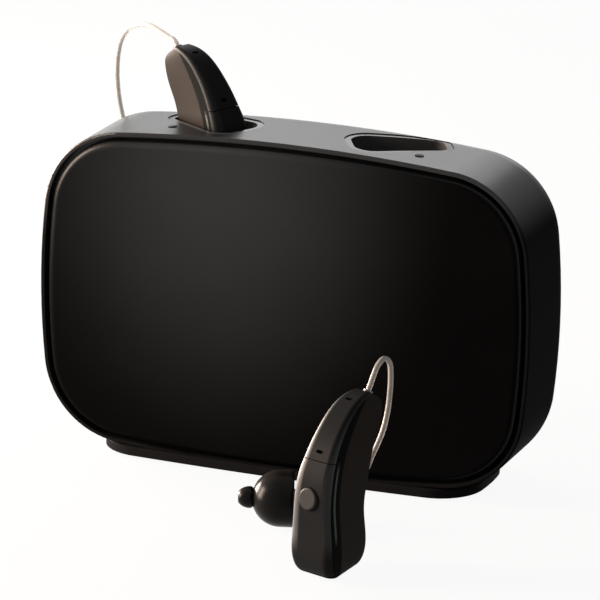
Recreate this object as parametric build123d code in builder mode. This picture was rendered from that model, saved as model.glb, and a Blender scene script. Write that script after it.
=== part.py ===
# Desktop charger for two behind-the-ear hearing aids, with both aids of the pair.
# Millimetres, +Z up, -Y is the front. The origin is on the table, at the centre of the base.
from math import acos, cos, hypot, pi, radians, sin, sqrt, tan
import os

from build123d import *

os.makedirs("parts", exist_ok=True)

# Body outline, seen from the front: a rectangle with bowed sides and round corners
cover_width = 79.6
cover_height = 51.2
side_bow = 2.2
top_bow = 2.4
cover_corner_radius = 12.6
cover_bottom_z = 2.0
cover_front_y = -10.5

# Front cover
cover_crown = 0.6
cover_thickness = 2.4
cover_edge_radius = 1.2
cover_rim_height = 1.8
cover_rim_thickness = 1.2
cover_seat_gap = 0.1
cover_lip_recess = 0.15

# Main housing, a deep tub that is open at the front
band_margin = 1.25
shadow_gap = 0.6
housing_wall = 1.6
housing_depth = 21.0
rear_edge_radius = 7.0
front_edge_radius = 0.3

# Base plate and the pad under it
base_length = 64.0
base_depth = 23.0
base_side_bow = 1.2
base_front_bow = 1.0
base_corner_radius = 7.5
base_top_z = 1.8
base_edge_radius = 0.25
pad_thickness = 0.6
pad_proud = 0.35
pad_margin = 2.4
pad_clearance = 0.1

# Charging pockets, a mirrored pair of splayed wedges
pocket_spine_x = 9.1
pocket_spine_y = -4.2
pocket_splay = 28.6
pocket_length = 14.7
pocket_spine_width = 9.8
pocket_belly_width = 5.1
pocket_spine_radius = 2.9
pocket_belly_radius = 1.5
pocket_depth = 15.85
pocket_taper = 1.0
liner_wall = 1.0
liner_floor = 1.0
liner_recess = 0.15
liner_clearance = 0.05

# Inner frame that carries the pockets, and the coils under them
shelf_thickness = 1.6
shelf_width = 62.0
shelf_front_y = -8.0
shelf_rear_y = 6.6
shelf_corner_radius = 3.0
coil_thickness = 0.8
coil_outer_radius = 4.6
coil_inner_radius = 2.2
ferrite_thickness = 0.6
ferrite_margin = 0.5
stack_clearance = 0.05
frame_tab_height = 9.0
frame_tab_width = 7.0
frame_post_x = 26.0
frame_screw_rise = 2.15

# Circuit board, power inlet and lights
board_width = 60.0
board_height = 18.0
board_thickness = 1.6
board_centre_z = 17.5
board_post_x = 26.0
board_post_rise = 6.0
board_front_y = 0.6
board_corner_radius = 1.5
chip_size = 7.0
chip_height = 1.0
chip_x = 12.0
chip_rise = 1.0
capacitor_radius = 2.2
capacitor_height = 3.0
capacitor_x = 3.5
capacitor_drop = 4.0
inlet_width = 8.9
inlet_height = 3.2
inlet_wall = 0.3
inlet_drop = 3.5
inlet_recess = 0.6
inlet_clearance = 0.3
inlet_back_wall = 1.5
inlet_tongue_thickness = 0.7
inlet_tongue_inset = 1.1
light_x = 20.6
light_y = -5.4
light_length = 1.4
light_width = 0.55
light_clearance = 0.05
led_size = 1.6
led_height = 0.7
led_gap = 0.15

# Posts and screws
post_radius = 2.5
screw_radius = 1.0
screw_head_radius = 1.8
screw_head_height = 0.7
screw_socket_radius = 0.6
screw_clearance = 0.03
screw_bite = 4.0
base_screw_x = 25.5
base_screw_y = 4.2
base_post_rise = 5.0

# Steel weight in the bottom
weight_length = 40.0
weight_height = 4.6
weight_depth = 13.0

# Hearing aid, in its own frame: X across, Y from spine to belly, Z up.
# Stations along the body: spine (y, z), belly (y, z), width at the spine, width at the belly.
aid_stations = [
    ((2.4, 0.0), (8.2, 0.0), 6.2, 3.0),
    ((0.8, 0.7), (9.9, 0.6), 7.6, 3.2),
    ((0.1, 2.2), (10.8, 2.0), 8.3, 3.2),
    ((-0.1, 6.0), (10.9, 6.0), 8.2, 3.2),
    ((0.2, 12.0), (11.1, 11.0), 7.2, 3.1),
    ((2.0, 18.0), (12.6, 16.2), 6.0, 2.9),
    ((4.0, 21.2), (14.0, 19.2), 5.2, 2.7),
    ((6.4, 23.9), (15.1, 21.6), 4.6, 2.5),
    ((9.0, 25.7), (15.5, 23.3), 4.0, 2.3),
    ((10.8, 26.3), (15.4, 24.2), 3.4, 2.1),
    ((12.2, 26.5), (14.7, 25.0), 2.8, 1.8),
]
# Each of these is a station between its two neighbours
button_stations = aid_stations[3:6]
seam_stations = aid_stations[4:7]
front_mic_stations = aid_stations[7:10]
spine_corner_share = 0.14
belly_corner_share = 0.42
aid_wall = 0.8
spine_cover_depth = 1.1
cover_seam = 0.12
button_radius = 1.7
button_rise = 0.5
button_proud = 0.5
button_travel = 0.3
button_clearance = 0.1
button_flange = 0.35
button_flange_height = 0.3
button_edge_radius = 0.3
switch_size = 2.4
switch_height = 0.5
switch_plunger_radius = 0.8
mic_port_width = 1.3
mic_port_height = 0.5
mic_size = 1.5
mic_depth = 0.8
front_mic_rise = 0.3
rear_mic_rise = 1.4
aid_coil_radius = 1.9
aid_coil_bore = 1.0
aid_coil_height = 0.8
aid_coil_y = 3.5
battery_radius = 1.7
battery_height = 8.5
battery_rise = 1.0
battery_edge_radius = 0.3
aid_board_width = 3.4
aid_board_height = 11.0
aid_board_thickness = 0.4
aid_board_drop = 1.5
aid_board_corner_radius = 0.5
plug_radius = 0.75
plug_depth = 1.6
plug_proud = 0.35
fit_clearance = 0.1

# Receiver wire, receiver and ear dome
wire_radius = 0.42
receiver_radius = 1.5
receiver_length = 6.4
receiver_edge = 0.5
nozzle_radius = 0.6
nozzle_length = 2.0
dome_radius = 4.4
dome_wall = 0.45
dome_skirt_length = 2.0
dome_neck_radius = 1.3
dome_stem_radius = 1.6
dome_tip_radius = 1.7
dome_tip_length = 2.3
dome_seat_clearance = 0.05
sound_bore_radius = 0.5

# Where the two aids are: the left one docked, the right one standing in front.
# Both lean over a little: the docked one in its pocket's play, the other on the edge of its foot.
dock_play_x = 1.0
dock_play_y = 0.9
dock_floor_gap = 0.4
dock_turn = 62.4
dock_lean = (0.9, -2.35)
standing_x = 21.15
standing_y = -51.3
standing_turn = -20.9
standing_lean = (1.05, -1.2)

# Routes of the two receiver wires, in the aid's frame, from just outside the plug to the receiver
left_wire_route = [
    (0, 14.17, 26.95), (0.1, 15.55, 27.1), (0.3, 17.8, 27.6), (0.6, 20.9, 28.15), (1.0, 24.5, 27.8),
    (1.5, 27.8, 26.4), (2.0, 30.5, 23.9), (2.5, 32.1, 20.8), (2.9, 33.0, 17.5), (3.3, 33.3, 14.1),
    (3.7, 33.1, 10.8), (4.3, 32.5, 7.5), (5.1, 31.9, 4.2), (5.8, 31.5, 0.9),
]
right_wire_route = [
    (0, 14.6, 27.75), (0, 15.7, 29.5), (0, 17.2, 30.35), (0, 18.6, 29.3), (0, 18.75, 27.1),
    (0, 18.5, 24.2), (0, 17.9, 21.2), (-0.1, 16.7, 18.1), (-0.9, 15.3, 15.0), (-2.3, 15.1, 11.6),
    (-4.9, 16.5, 8.7), (-7.9, 18.5, 6.3), (-11.0, 19.9, 4.7), (-13.5, 18.95, 4.08), (-15.5, 17.1, 4.22),
]

# Planes that most sketches stand on, and heights that follow from the sizes above
body_centre_z = cover_bottom_z + cover_height / 2
front = Plane(origin=(0, 0, body_centre_z), x_dir=(1, 0, 0), z_dir=(0, -1, 0))
cover_plane = front.offset(-cover_front_y)
housing_front_y = cover_front_y + cover_lip_recess
housing_rear_y = cover_front_y + housing_depth
housing_front = front.offset(-housing_front_y)
rebate_y = cover_front_y + cover_thickness - cover_crown + cover_seat_gap
rear_wall_y = housing_rear_y - housing_wall
band_top_z = body_centre_z + cover_height / 2 + band_margin
pocket_floor_z = band_top_z - pocket_depth
liner_bottom_z = pocket_floor_z - liner_floor
coil_bottom_z = liner_bottom_z - stack_clearance - coil_thickness
ferrite_bottom_z = coil_bottom_z - stack_clearance - ferrite_thickness
shelf_top_z = ferrite_bottom_z - stack_clearance
frame_post_z = shelf_top_z - frame_tab_height + frame_screw_rise
inlet_z = board_centre_z - inlet_drop
capacitor_z = board_centre_z - capacitor_drop
splay = radians(pocket_splay)
left_aid_place = Location(
    (-pocket_spine_x - dock_play_x, pocket_spine_y + dock_play_y, pocket_floor_z + dock_floor_gap),
    (*dock_lean, dock_turn),
)
right_aid_place = Location((standing_x, standing_y, 0), (*standing_lean, standing_turn))


def bowed_outline(width, height, bow_x, bow_y, corner_radius):
    """Face with four bowed sides and round corners."""
    corner_x = width / 2 - bow_x
    corner_y = height / 2 - bow_y
    with BuildSketch() as outline:
        with BuildLine():
            ThreePointArc((-corner_x, corner_y), (0, height / 2), (corner_x, corner_y))
            ThreePointArc((corner_x, corner_y), (width / 2, 0), (corner_x, -corner_y))
            ThreePointArc((corner_x, -corner_y), (0, -height / 2), (-corner_x, -corner_y))
            ThreePointArc((-corner_x, -corner_y), (-width / 2, 0), (-corner_x, corner_y))
        make_face()
        fillet(outline.vertices(), radius=corner_radius)
    return outline.sketch


def body_outline(grow):
    """Outline of the front cover, grown evenly."""
    with BuildSketch() as grown:
        add(bowed_outline(cover_width, cover_height, side_bow, top_bow, cover_corner_radius))
        if grow:
            offset(amount=grow)
    return grown.sketch


def base_outline(grow):
    """Outline of the base plate, grown on every side."""
    length = base_length + 2 * grow
    depth = base_depth + 2 * grow
    return bowed_outline(length, depth, base_side_bow, base_front_bow, base_corner_radius + grow)


def pocket_outline(side, grow):
    """Wedge with its wide spine end towards the middle; side is -1 left, 1 right."""
    with BuildSketch() as wedge:
        with BuildLine():
            Polyline(
                (0, -pocket_spine_width / 2),
                (pocket_length, -pocket_belly_width / 2),
                (pocket_length, pocket_belly_width / 2),
                (0, pocket_spine_width / 2),
                close=True,
            )
        make_face()
        fillet(wedge.vertices().group_by(Axis.X)[0], radius=pocket_spine_radius)
        fillet(wedge.vertices().group_by(Axis.X)[-1], radius=pocket_belly_radius)
        if grow:
            offset(amount=grow)
    turned = wedge.sketch.rotate(Axis.Z, pocket_splay).translate((pocket_spine_x, pocket_spine_y, 0))
    return turned if side > 0 else turned.mirror(Plane.YZ)


def pocket_point(side, along):
    """Plan point on the pocket's axis, along millimetres from its spine wall."""
    return (side * (pocket_spine_x + along * cos(splay)), pocket_spine_y + along * sin(splay))


def write(shape, name):
    shape.label = name
    export_step(shape, f"parts/{name}.step")


coil_centre = pocket_length * 0.45
board_screw_places = [
    (x, board_centre_z + rise)
    for x in (-board_post_x, board_post_x)
    for rise in (-board_post_rise, board_post_rise)
]
frame_screw_places = [(-frame_post_x, frame_post_z), (frame_post_x, frame_post_z)]
base_screw_places = [
    (x, y) for x in (-base_screw_x, base_screw_x) for y in (-base_screw_y, base_screw_y)
]
board_rear_y = board_front_y + board_thickness


def tub_block(grow, front_y, rear_y, rear_radius):
    """Solid of the body's outline, from front_y to rear_y, with a rounded rear edge."""
    with BuildPart() as block:
        with BuildSketch(front.offset(-front_y)):
            add(body_outline(grow))
        extrude(amount=front_y - rear_y)
        fillet(block.faces().sort_by(Axis.Y)[-1].edges(), radius=rear_radius)
    return block.part


# Main housing: a tub with a rebate for the cover, pocket mouths and posts
rim_seat = band_margin - housing_wall
with BuildPart() as main_housing:
    add(tub_block(band_margin, housing_front_y, housing_rear_y, rear_edge_radius))
    fillet(main_housing.faces().sort_by(Axis.Y)[0].edges(), radius=front_edge_radius)
    inside_radius = rear_edge_radius - housing_wall
    add(tub_block(rim_seat, housing_front_y, rear_wall_y, inside_radius), mode=Mode.SUBTRACT)
    with BuildSketch(housing_front):
        add(body_outline(shadow_gap))
    extrude(amount=-(rebate_y - housing_front_y), mode=Mode.SUBTRACT)
    with BuildSketch(Plane.XZ.offset(-rear_wall_y)):
        with Locations(*board_screw_places, *frame_screw_places):
            Circle(post_radius)
    extrude(amount=rear_wall_y - board_rear_y)
    with BuildSketch(Plane.XZ.offset(-board_rear_y)):
        with Locations(*board_screw_places, *frame_screw_places):
            Circle(screw_radius + screw_clearance)
    extrude(amount=-screw_bite, mode=Mode.SUBTRACT)
    with BuildSketch(Plane.XY.offset(base_top_z)):
        with Locations(*base_screw_places):
            Circle(post_radius)
    extrude(amount=base_post_rise)
    with BuildSketch(Plane.XY.offset(base_top_z)):
        with Locations(*base_screw_places):
            Circle(screw_radius + screw_clearance)
    extrude(amount=screw_bite, mode=Mode.SUBTRACT)
    with BuildSketch(Plane.XY):
        Rectangle(cover_width * 2, cover_width * 2)
    extrude(amount=base_top_z, mode=Mode.SUBTRACT)
    for side in (-1, 1):
        with BuildSketch(Plane.XY.offset(liner_bottom_z)):
            add(pocket_outline(side, liner_wall + liner_clearance))
        extrude(amount=cover_height, mode=Mode.SUBTRACT)
        with BuildSketch(Plane.XY.offset(body_centre_z)):
            with Locations((side * light_x, light_y)):
                SlotOverall(light_length + 2 * light_clearance, light_width + 2 * light_clearance)
        extrude(amount=cover_height, mode=Mode.SUBTRACT)
    with BuildSketch(Plane.XZ.offset(-housing_rear_y - 1)):
        with Locations((0, inlet_z)):
            SlotOverall(inlet_width + 2 * inlet_clearance, inlet_height + 2 * inlet_clearance)
    extrude(amount=housing_wall + 2, mode=Mode.SUBTRACT)
write(main_housing.part, "main_housing")

# Front cover: a gently crowned plate with a rim that locates it in the housing
half_diagonal = hypot(cover_width, cover_height) / 2
crown_radius = (half_diagonal**2 + cover_crown**2) / (2 * cover_crown)
with BuildPart() as front_cover:
    with BuildSketch(cover_plane.offset(cover_crown)):
        add(body_outline(0))
    extrude(amount=-cover_thickness)
    with Locations((0, cover_front_y - cover_crown + crown_radius, body_centre_z)):
        Sphere(crown_radius, mode=Mode.INTERSECT)
    fillet(front_cover.faces().sort_by(Axis.Y)[0].edges(), radius=cover_edge_radius)
    rim_plane = cover_plane.offset(cover_crown - cover_thickness)
    with BuildSketch(rim_plane):
        add(body_outline(rim_seat - fit_clearance))
        add(body_outline(rim_seat - fit_clearance - cover_rim_thickness), mode=Mode.SUBTRACT)
    extrude(amount=-cover_rim_height)
    for side in (-1, 1):
        with BuildSketch(Plane.XY.offset(body_centre_z)):
            add(pocket_outline(side, liner_wall + fit_clearance))
        extrude(amount=cover_height, mode=Mode.SUBTRACT)
write(front_cover.part, "front_cover")

# Base plate: the low foot that the body is screwed down on
with BuildPart() as base_plate:
    with BuildSketch(Plane.XY.offset(pad_proud)):
        add(base_outline(0))
    extrude(amount=base_top_z - pad_proud)
    fillet(base_plate.faces().sort_by(Axis.Z)[-1].edges(), radius=base_edge_radius)
    with BuildSketch(Plane.XY.offset(pad_proud)):
        add(base_outline(pad_clearance - pad_margin))
    extrude(amount=pad_thickness - pad_proud, mode=Mode.SUBTRACT)
    with BuildSketch(Plane.XY):
        with Locations(*base_screw_places):
            Circle(screw_radius + screw_clearance)
    extrude(amount=base_top_z, mode=Mode.SUBTRACT)
    with BuildSketch(Plane.XY):
        with Locations(*base_screw_places):
            Circle(screw_head_radius + fit_clearance)
    extrude(amount=pad_thickness + screw_head_height, mode=Mode.SUBTRACT)
write(base_plate.part, "base_plate")

with BuildPart() as rubber_foot:
    with BuildSketch(Plane.XY):
        add(base_outline(-pad_margin))
    extrude(amount=pad_thickness)
write(rubber_foot.part, "rubber_foot")


def screws(places, plane, length, name):
    """Screws with their heads' undersides on the plane and shanks along its normal."""
    with BuildPart() as group:
        with BuildSketch(plane):
            with Locations(*places):
                Circle(screw_radius)
        extrude(amount=length)
        with BuildSketch(plane):
            with Locations(*places):
                Circle(screw_head_radius)
                RegularPolygon(screw_socket_radius, 6, mode=Mode.SUBTRACT)
        extrude(amount=-screw_head_height)
    write(group.part, name)


base_head_z = pad_thickness + screw_head_height
base_screw_length = base_top_z - base_head_z + screw_bite - fit_clearance
screws(base_screw_places, Plane.XY.offset(base_head_z), base_screw_length, "base_screws")

# Steel weight, cast to the shape of the housing's floor
with BuildPart() as ballast_weight:
    add(
        tub_block(
            rim_seat - fit_clearance,
            -weight_depth,
            rear_wall_y - fit_clearance,
            inside_radius,
        )
    )
    with BuildSketch(Plane.XY):
        Rectangle(weight_length, weight_depth)
    extrude(amount=base_top_z + weight_height, mode=Mode.INTERSECT)
write(ballast_weight.part, "ballast_weight")

# Inner frame: a shelf under the pockets with two tabs that are screwed to posts
with BuildPart() as inner_frame:
    with BuildSketch(Plane.XY.offset(shelf_top_z)):
        with Locations((0, (shelf_front_y + shelf_rear_y) / 2)):
            RectangleRounded(shelf_width, shelf_rear_y - shelf_front_y, shelf_corner_radius)
    extrude(amount=-shelf_thickness)
    for x in (-frame_post_x, frame_post_x):
        with BuildSketch(Plane.XZ.offset(-board_rear_y)):
            with Locations((x, shelf_top_z - frame_tab_height / 2)):
                Rectangle(frame_tab_width, frame_tab_height)
        extrude(amount=shelf_thickness)
    with BuildSketch(Plane.XZ.offset(-board_rear_y)):
        with Locations(*frame_screw_places):
            Circle(screw_radius + screw_clearance)
    extrude(amount=shelf_thickness, mode=Mode.SUBTRACT)
write(inner_frame.part, "inner_frame")
into_posts = Plane(origin=(0, board_rear_y - shelf_thickness, 0), x_dir=(-1, 0, 0), z_dir=(0, 1, 0))
screws(
    frame_screw_places,
    into_posts,
    shelf_thickness + screw_bite - fit_clearance,
    "frame_screws",
)

# Circuit board with its larger components, screwed to the four posts
with BuildPart() as main_board:
    with BuildSketch(Plane.XZ.offset(-board_rear_y)):
        with Locations((0, board_centre_z)):
            RectangleRounded(board_width, board_height, board_corner_radius)
        with Locations(*board_screw_places):
            Circle(screw_radius + screw_clearance, mode=Mode.SUBTRACT)
    extrude(amount=board_thickness)
    with BuildSketch(Plane.XZ.offset(-board_front_y)):
        with Locations((-chip_x, board_centre_z + chip_rise), (chip_x, board_centre_z + chip_rise)):
            Rectangle(chip_size, chip_size)
    extrude(amount=chip_height)
    with BuildSketch(Plane.XZ.offset(-board_front_y)):
        with Locations((-capacitor_x, capacitor_z), (capacitor_x, capacitor_z)):
            Circle(capacitor_radius)
    extrude(amount=capacitor_height)
write(main_board.part, "main_board")
into_board = Plane(origin=(0, board_front_y, 0), x_dir=(-1, 0, 0), z_dir=(0, 1, 0))
screws(
    board_screw_places,
    into_board,
    board_thickness + screw_bite - fit_clearance,
    "board_screws",
)

# Power inlet: an oval metal shell round a contact tongue, on the back of the board
inlet_mouth_y = housing_rear_y - inlet_recess
with BuildPart() as power_inlet:
    with BuildSketch(Plane.XZ.offset(-board_rear_y)):
        with Locations((0, inlet_z)):
            SlotOverall(inlet_width, inlet_height)
    extrude(amount=-(inlet_mouth_y - board_rear_y))
    with BuildSketch(Plane.XZ.offset(-board_rear_y - inlet_back_wall)):
        with Locations((0, inlet_z)):
            SlotOverall(inlet_width - 2 * inlet_wall, inlet_height - 2 * inlet_wall)
    extrude(amount=-housing_depth, mode=Mode.SUBTRACT)
    with BuildSketch(Plane.XZ.offset(-board_rear_y)):
        with Locations((0, inlet_z)):
            Rectangle(inlet_width - 2 * inlet_tongue_inset, inlet_tongue_thickness)
    extrude(amount=-(inlet_mouth_y - board_rear_y - inlet_tongue_inset))
write(power_inlet.part, "power_inlet")

for side, side_name in ((-1, "left"), (1, "right")):
    # Pocket liner: a glossy cup, flush with the housing's bowed top
    with BuildPart() as liner:
        liner_rear_y = housing_rear_y - liner_recess
        add(tub_block(band_margin - liner_recess, housing_front_y, liner_rear_y, rear_edge_radius))
        with BuildSketch(Plane.XY.offset(liner_bottom_z)):
            add(pocket_outline(side, liner_wall))
        extrude(amount=cover_height, mode=Mode.INTERSECT)
        with BuildSketch(Plane.XY.offset(band_top_z)):
            add(pocket_outline(side, 0))
        extrude(amount=-(band_top_z - pocket_floor_z), taper=pocket_taper, mode=Mode.SUBTRACT)
    write(liner.part, f"pocket_liner_{side_name}")

    # Charging coil on its ferrite plate, under the pocket's floor
    centre = pocket_point(side, coil_centre)
    with BuildPart() as coil:
        with BuildSketch(Plane.XY.offset(coil_bottom_z)):
            with Locations(centre):
                Circle(coil_outer_radius)
                Circle(coil_inner_radius, mode=Mode.SUBTRACT)
        extrude(amount=coil_thickness)
    write(coil.part, f"charging_coil_{side_name}")
    with BuildPart() as ferrite:
        with BuildSketch(Plane.XY.offset(ferrite_bottom_z)):
            with Locations(centre):
                Circle(coil_outer_radius + ferrite_margin)
        extrude(amount=ferrite_thickness)
    write(ferrite.part, f"ferrite_plate_{side_name}")

    # Status light: a chip on the frame's shelf and a clear rod up to the housing's top
    with BuildPart() as led:
        with BuildSketch(Plane.XY.offset(shelf_top_z)):
            with Locations((side * light_x, light_y)):
                Rectangle(led_size, led_size / 2)
        extrude(amount=led_height)
    write(led.part, f"status_led_{side_name}")
    rod_bottom_z = shelf_top_z + led_height + led_gap
    with BuildPart() as rod:
        with BuildSketch(Plane.XY.offset(rod_bottom_z)):
            with Locations((side * light_x, light_y)):
                SlotOverall(light_length, light_width)
        extrude(amount=band_top_z - rod_bottom_z)
        with BuildSketch(housing_front):
            add(body_outline(band_margin - liner_recess / 2))
        extrude(amount=-housing_depth, mode=Mode.INTERSECT)
    write(rod.part, f"light_guide_{side_name}")


def station_plane(station):
    """Plane of a station: X across, Y from the spine to the belly. Also its depth."""
    (spine_y, spine_z), (belly_y, belly_z), _, _ = station
    depth = hypot(belly_y - spine_y, belly_z - spine_z)
    inward_y = (belly_y - spine_y) / depth
    inward_z = (belly_z - spine_z) / depth
    plane = Plane(origin=(0, spine_y, spine_z), x_dir=(1, 0, 0), z_dir=(0, -inward_z, inward_y))
    return plane, depth


def aid_loft(stations, inset=0.0, spine_inset=0.0):
    """Smooth body through round-cornered wedges, each drawn in by the insets."""
    with BuildPart() as body:
        for station in stations:
            plane, depth = station_plane(station)
            spine_half = station[2] / 2 - inset
            belly_half = max(station[3] / 2 - inset, 0.45)
            with BuildSketch(plane) as section:
                with BuildLine():
                    Polyline(
                        (-spine_half, spine_inset),
                        (spine_half, spine_inset),
                        (belly_half, depth - inset),
                        (-belly_half, depth - inset),
                        close=True,
                    )
                make_face()
                local = section.sketch_local
                fillet(local.vertices().group_by(Axis.Y)[0], radius=2 * spine_half * spine_corner_share)
                fillet(local.vertices().group_by(Axis.Y)[-1], radius=2 * belly_half * belly_corner_share)
        loft()
    return body.part


def spine_slab(stations, depth):
    """Slab that follows the spine, from outside the body to depth under its surface."""
    with BuildPart() as slab:
        for station in stations:
            plane, _ = station_plane(station)
            with BuildSketch(plane):
                with Locations((0, depth / 2 - 1)):
                    Rectangle(2 * station[2], depth + 2)
        loft()
    return slab.part


def inward_plane(stations, rise=0.0):
    """Plane on the spine at the middle station, looking square into the body, with Y up the spine."""
    (before_y, before_z), here, (after_y, after_z) = (station[0] for station in stations)
    inward = (0, after_z - before_z, before_y - after_y)
    plane = Plane(origin=(0, *here), x_dir=(-1, 0, 0), z_dir=inward)
    return Plane(origin=plane.from_local_coords((0, rise, 0)), x_dir=plane.x_dir, z_dir=plane.z_dir)


aid_outer = aid_loft(aid_stations)
aid_cavity = aid_loft(aid_stations[2:-1], inset=aid_wall, spine_inset=spine_cover_depth / 2)
aid_spine = spine_slab(aid_stations[1:], spine_cover_depth)
seam_plane, _ = station_plane(seam_stations[1])
button_plane = inward_plane(button_stations, button_rise)
rear_mic_plane = inward_plane(seam_stations, rear_mic_rise)
front_mic_plane = inward_plane(front_mic_stations, front_mic_rise)
cap_plane, cap_depth = station_plane(aid_stations[-1])
cap_plane = cap_plane.shift_origin(cap_plane.from_local_coords((0, cap_depth / 2, 0)))
plug_face = cap_plane.offset(plug_proud)
cavity_floor_z = max(aid_stations[2][0][1], aid_stations[2][1][1]) + fit_clearance

# Aid shell: both flanks and the belly in one piece, open along the spine
with BuildPart() as aid_shell:
    add(aid_outer)
    add(aid_spine, mode=Mode.SUBTRACT)
    add(aid_cavity, mode=Mode.SUBTRACT)
    with BuildSketch(plug_face):
        Circle(plug_radius + stack_clearance)
    extrude(amount=-(plug_depth + plug_proud), mode=Mode.SUBTRACT)

# Upper spine cover, with a port for each microphone
with BuildPart() as mic_cover:
    add(aid_outer)
    add(aid_spine, mode=Mode.INTERSECT)
    split(bisect_by=seam_plane.offset(cover_seam / 2), keep=Keep.TOP)
    with BuildSketch(plug_face):
        Circle(plug_radius + stack_clearance)
    extrude(amount=-(plug_depth + plug_proud), mode=Mode.SUBTRACT)
    for port_plane in (rear_mic_plane, front_mic_plane):
        with BuildSketch(port_plane):
            SlotOverall(mic_port_width, mic_port_height)
        extrude(amount=2 * spine_cover_depth, both=True, mode=Mode.SUBTRACT)

# Lower spine cover, with the hole that guides the button
with BuildPart() as button_cover:
    add(aid_outer)
    add(aid_spine, mode=Mode.INTERSECT)
    split(bisect_by=seam_plane.offset(-cover_seam / 2), keep=Keep.BOTTOM)
    with BuildSketch(button_plane.offset(-1)):
        Circle(button_radius + button_clearance)
    extrude(amount=2 * spine_cover_depth + 1, mode=Mode.SUBTRACT)

# Push button: a low cap with a flange that keeps it behind the cover
flange_depth = spine_cover_depth + 2 * fit_clearance
with BuildPart() as push_button:
    with BuildSketch(button_plane.offset(-button_proud)):
        Circle(button_radius)
    extrude(amount=button_proud + flange_depth)
    fillet(push_button.faces().sort_by(Axis.Y)[0].edges(), radius=button_edge_radius)
    with BuildSketch(button_plane.offset(flange_depth)):
        Circle(button_radius + button_flange)
    extrude(amount=button_flange_height)

# Switch, board and battery stack up behind the button
switch_top = flange_depth + button_flange_height + button_travel + stack_clearance
with BuildPart() as button_switch:
    with BuildSketch(button_plane.offset(switch_top)):
        Circle(switch_plunger_radius)
    extrude(amount=switch_height)
    with BuildSketch(button_plane.offset(switch_top + switch_height / 2)):
        Rectangle(switch_size, switch_size)
    extrude(amount=switch_height / 2)

board_depth = switch_top + switch_height
with BuildPart() as aid_board:
    with BuildSketch(button_plane.offset(board_depth)):
        with Locations((0, -aid_board_drop)):
            RectangleRounded(aid_board_width, aid_board_height, aid_board_corner_radius)
    extrude(amount=aid_board_thickness)

battery_axis = board_depth + aid_board_thickness + stack_clearance + battery_radius
battery_top = button_plane.from_local_coords((0, battery_rise, battery_axis))
battery_plane = Plane(origin=battery_top, x_dir=(1, 0, 0), z_dir=-button_plane.y_dir)
with BuildPart() as battery:
    with BuildSketch(battery_plane):
        Circle(battery_radius)
    extrude(amount=battery_height)
    fillet(battery.edges(), radius=battery_edge_radius)

with BuildPart() as aid_coil:
    with BuildSketch(Plane.XY.offset(cavity_floor_z)):
        with Locations((0, aid_coil_y)):
            Circle(aid_coil_radius)
            Circle(aid_coil_bore, mode=Mode.SUBTRACT)
    extrude(amount=aid_coil_height)


def microphone(port_plane):
    """Square microphone capsule right behind its port."""
    with BuildPart() as mic:
        with BuildSketch(port_plane.offset(spine_cover_depth + 2 * fit_clearance)):
            Rectangle(mic_size, mic_size)
        extrude(amount=mic_depth)
    return mic.part


# Plug that the receiver wire leaves the tip of the body by
with BuildPart() as wire_plug:
    with BuildSketch(plug_face):
        Circle(plug_radius)
    extrude(amount=-(plug_depth + plug_proud))

aid_pieces = {
    "shell": aid_shell.part,
    "mic_cover": mic_cover.part,
    "button_cover": button_cover.part,
    "push_button": push_button.part,
    "switch": button_switch.part,
    "board": aid_board.part,
    "battery": battery.part,
    "coil": aid_coil.part,
    "front_mic": microphone(front_mic_plane),
    "rear_mic": microphone(rear_mic_plane),
    "wire_plug": wire_plug.part,
}


def cord_radii(points):
    """Bend radius at each inner point: as large as its two runs allow."""
    radii = []
    for before, here, after in zip(points, points[1:], points[2:]):
        run_in = Vector(*here) - Vector(*before)
        run_out = Vector(*after) - Vector(*here)
        half_turn = radians(run_in.get_angle(run_out)) / 2
        radii.append(0.45 * min(run_in.length, run_out.length) / tan(half_turn))
    return radii


def arc_middle(radius, end_radius, height):
    """Middle of the arc of a circle round (0, height) that closes in to end_radius."""
    half_angle = acos(end_radius / radius) / 2
    return (radius * cos(half_angle), height + radius * sin(half_angle))


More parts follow.
